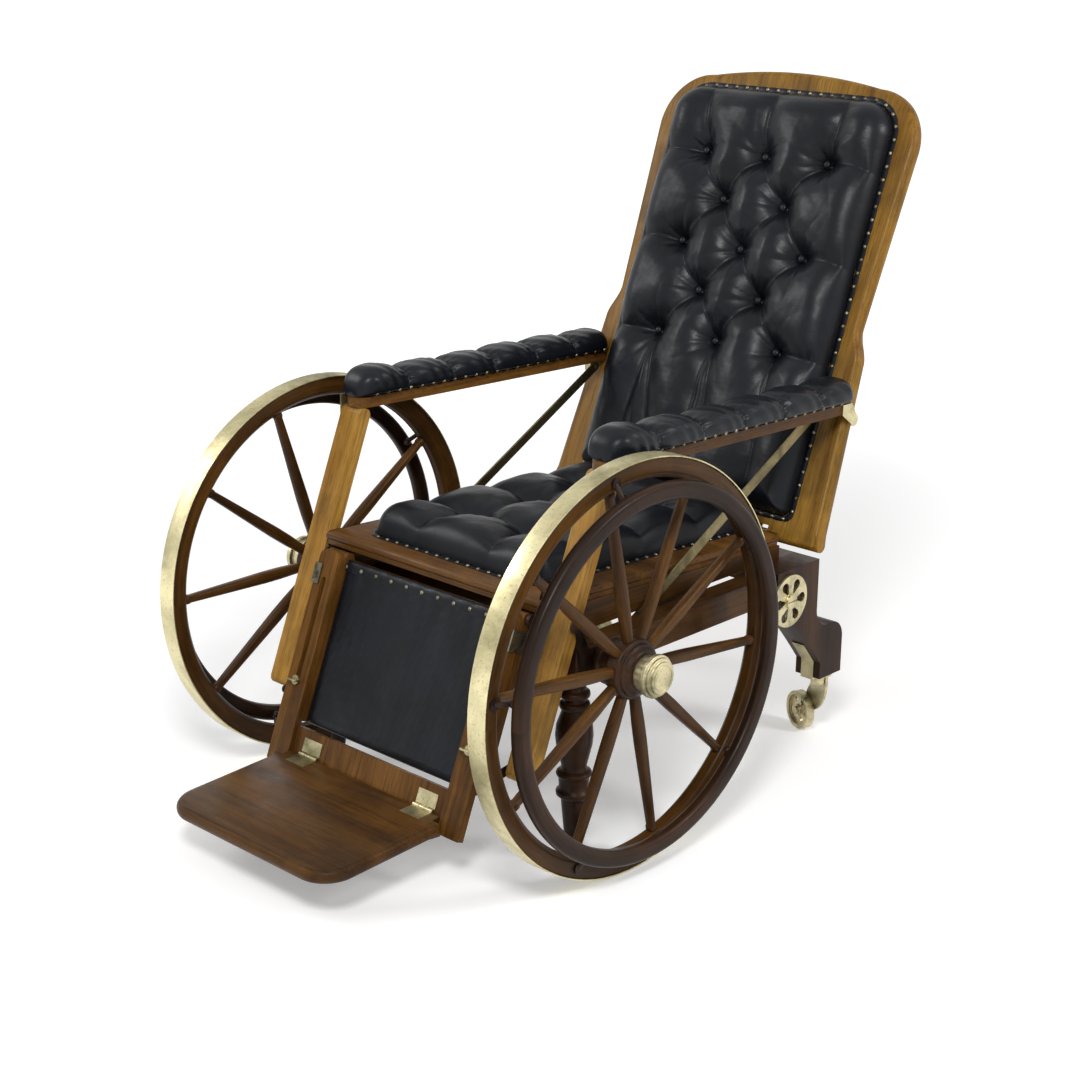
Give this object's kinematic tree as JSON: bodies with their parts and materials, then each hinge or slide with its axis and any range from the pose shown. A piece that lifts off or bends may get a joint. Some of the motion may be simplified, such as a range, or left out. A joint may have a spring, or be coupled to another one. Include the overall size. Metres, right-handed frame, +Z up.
{
  "type": "invalid chair",
  "caption": "Reclining wheelchair on two spoked wheels and casters, with linked arms, posts, stays, leg rest and a folding footboard.",
  "frame": {"origin": "on the floor, under the middle of the chair's bounding box", "axes": "+Z up, the front is -Y, +X is the sitter's left"},
  "size_m": [0.842, 1.3328, 1.135],
  "materials": {
    "mahogany": "satin",
    "dark_mahogany": "satin",
    "brass": "satin",
    "leather": "gloss",
    "iron": "matte"
  },
  "bodies": {
    "chassis": {"frame_rails": "mahogany", "seat_bearers": "dark_mahogany", "front_legs": "mahogany", "rear_legs": "mahogany", "axles": "iron", "axle_collars": "brass", "pivot_brackets": "iron", "stay_clamps": "brass", "caster_plates": "brass", "back_hinges_lower": "brass", "seat_board": "mahogany", "seat_cushion": "leather", "seat_studs": "brass"},
    "back": {"back_frame": "mahogany", "back_pad": "leather", "back_buttons": "leather", "back_studs": "brass", "back_hinges_upper": "brass"},
    "leg_rest": {"leg_frame": "mahogany", "leg_panel": "leather", "leg_rest_brasses": "brass"},
    "carrier": {"slide": "mahogany", "foot_hinges_upper": "brass"},
    "foot": {"footboard": "mahogany", "foot_hinges_lower": "brass"},
    "left_wheel_body": {"left_tyre": "brass", "left_felloe": "mahogany", "left_spokes": "mahogany", "left_nave": "dark_mahogany", "left_hub_cap": "brass", "left_handrim": "mahogany", "left_handrim_brackets": "iron"},
    "left_caster_body": {"left_caster_fork": "brass"},
    "left_roller_body": {"left_caster_wheel": "brass"},
    "left_hand_wheel_body": {"left_hand_wheel": "brass"},
    "left_arm_body": {"left_arm_rail": "mahogany", "left_arm_pad": "leather", "left_arm_brass": "brass"},
    "left_post_body": {"left_post": "mahogany"},
    "left_stay_body": {"left_stay": "brass"},
    "left_link_body": {"left_link": "iron"},
    "left_thumb_body": {"left_thumb_screw": "brass"},
    "right_wheel_body": {"right_tyre": "brass", "right_felloe": "mahogany", "right_spokes": "mahogany", "right_nave": "dark_mahogany", "right_hub_cap": "brass", "right_handrim": "mahogany", "right_handrim_brackets": "iron"},
    "right_caster_body": {"right_caster_fork": "brass"},
    "right_roller_body": {"right_caster_wheel": "brass"},
    "right_hand_wheel_body": {"right_hand_wheel": "brass"},
    "right_arm_body": {"right_arm_rail": "mahogany", "right_arm_pad": "leather", "right_arm_brass": "brass"},
    "right_post_body": {"right_post": "mahogany"},
    "right_stay_body": {"right_stay": "brass"},
    "right_link_body": {"right_link": "iron"},
    "right_thumb_body": {"right_thumb_screw": "brass"}
  },
  "joints": [
    {"name": "recline", "type": "hinge", "parent": "chassis", "child": "back", "pos_m": [0, 0.35691, 0.382], "axis": [-1, 0, 0], "range_deg": [0, 40]},
    {"name": "leg_rest_lift", "type": "hinge", "parent": "chassis", "child": "leg_rest", "pos_m": [0, -0.27809, 0.396], "axis": [-1, 0, 0], "range_deg": [0, 40]},
    {"name": "carrier_slide", "type": "slide", "parent": "leg_rest", "child": "carrier", "axis": [0, -0.3697, -0.9291], "range_m": [0, 0.07]},
    {"name": "footboard_fold", "type": "hinge", "parent": "carrier", "child": "foot", "pos_m": [0, -0.41595, 0.10096], "axis": [-1, 0, 0], "range_deg": [0, 90]},
    {"name": "left_wheel_spin", "type": "hinge", "parent": "chassis", "child": "left_wheel_body", "pos_m": [0.3575, -0.19009, 0.33], "axis": [1, 0, 0], "continuous": true},
    {"name": "left_caster_swivel", "type": "hinge", "parent": "chassis", "child": "left_caster_body", "pos_m": [0.274, 0.41591, 0.124], "axis": [0, 0, 1], "continuous": true},
    {"name": "left_caster_roll", "type": "hinge", "parent": "left_caster_body", "child": "left_roller_body", "pos_m": [0.22642, 0.43427, 0.035], "axis": [-0.36, -0.933, 0], "continuous": true},
    {"name": "left_hand_wheel_turn", "type": "hinge", "parent": "chassis", "child": "left_hand_wheel_body", "pos_m": [0.302, 0.28091, 0.302], "axis": [1, 0, 0], "range_deg": [-180, 180]},
    {"name": "left_arm_level", "type": "hinge", "parent": "back", "child": "left_arm_body", "pos_m": [0.278, 0.43929, 0.589], "axis": [-1, 0, 0], "range_deg": [-40, 0]},
    {"name": "left_post_swing", "type": "hinge", "parent": "chassis", "child": "left_post_body", "pos_m": [0.278, -0.25509, 0.3995], "axis": [-1, 0, 0], "range_deg": [0, 40]},
    {"name": "left_stay_swing", "type": "hinge", "parent": "left_arm_body", "child": "left_stay_body", "pos_m": [0.251, 0.39699, 0.59671], "axis": [-1, 0, 0], "range_deg": [0, 13.7]},
    {"name": "left_link_swing", "type": "hinge", "parent": "left_post_body", "child": "left_link_body", "pos_m": [0.2485, -0.34346, 0.17744], "axis": [-1, 0, 0], "range_deg": [-40, 0]},
    {"name": "left_thumb_screw_turn", "type": "hinge", "parent": "leg_rest", "child": "left_thumb_body", "pos_m": [0.203, -0.3758, 0.20456], "axis": [0, -0.9291, 0.3697], "range_deg": [0, 360]},
    {"name": "right_wheel_spin", "type": "hinge", "parent": "chassis", "child": "right_wheel_body", "pos_m": [-0.3575, -0.19009, 0.33], "axis": [1, 0, 0], "continuous": true},
    {"name": "right_caster_swivel", "type": "hinge", "parent": "chassis", "child": "right_caster_body", "pos_m": [-0.274, 0.41591, 0.124], "axis": [0, 0, 1], "continuous": true},
    {"name": "right_caster_roll", "type": "hinge", "parent": "right_caster_body", "child": "right_roller_body", "pos_m": [-0.22642, 0.43427, 0.035], "axis": [0.36, -0.933, 0], "continuous": true},
    {"name": "right_hand_wheel_turn", "type": "hinge", "parent": "chassis", "child": "right_hand_wheel_body", "pos_m": [-0.302, 0.28091, 0.302], "axis": [1, 0, 0], "range_deg": [-180, 180]},
    {"name": "right_arm_level", "type": "hinge", "parent": "back", "child": "right_arm_body", "pos_m": [-0.278, 0.43929, 0.589], "axis": [-1, 0, 0], "range_deg": [-40, 0]},
    {"name": "right_post_swing", "type": "hinge", "parent": "chassis", "child": "right_post_body", "pos_m": [-0.278, -0.25509, 0.3995], "axis": [-1, 0, 0], "range_deg": [0, 40]},
    {"name": "right_stay_swing", "type": "hinge", "parent": "right_arm_body", "child": "right_stay_body", "pos_m": [-0.251, 0.39699, 0.59671], "axis": [-1, 0, 0], "range_deg": [0, 13.7]},
    {"name": "right_link_swing", "type": "hinge", "parent": "right_post_body", "child": "right_link_body", "pos_m": [-0.2485, -0.34346, 0.17744], "axis": [-1, 0, 0], "range_deg": [-40, 0]},
    {"name": "right_thumb_screw_turn", "type": "hinge", "parent": "leg_rest", "child": "right_thumb_body", "pos_m": [-0.203, -0.3758, 0.20456], "axis": [0, -0.9291, 0.3697], "range_deg": [0, 360]}
  ],
  "couplings": [
    {"joint": "leg_rest_lift", "follows": "recline", "ratio": 1},
    {"joint": "left_arm_level", "follows": "recline", "ratio": -1},
    {"joint": "left_post_swing", "follows": "recline", "ratio": 1},
    {"joint": "left_stay_swing", "follows": "recline", "ratio": 0.3404},
    {"joint": "left_link_swing", "follows": "recline", "ratio": -1},
    {"joint": "right_arm_level", "follows": "recline", "ratio": -1},
    {"joint": "right_post_swing", "follows": "recline", "ratio": 1},
    {"joint": "right_stay_swing", "follows": "recline", "ratio": 0.3404},
    {"joint": "right_link_swing", "follows": "recline", "ratio": -1}
  ]
}
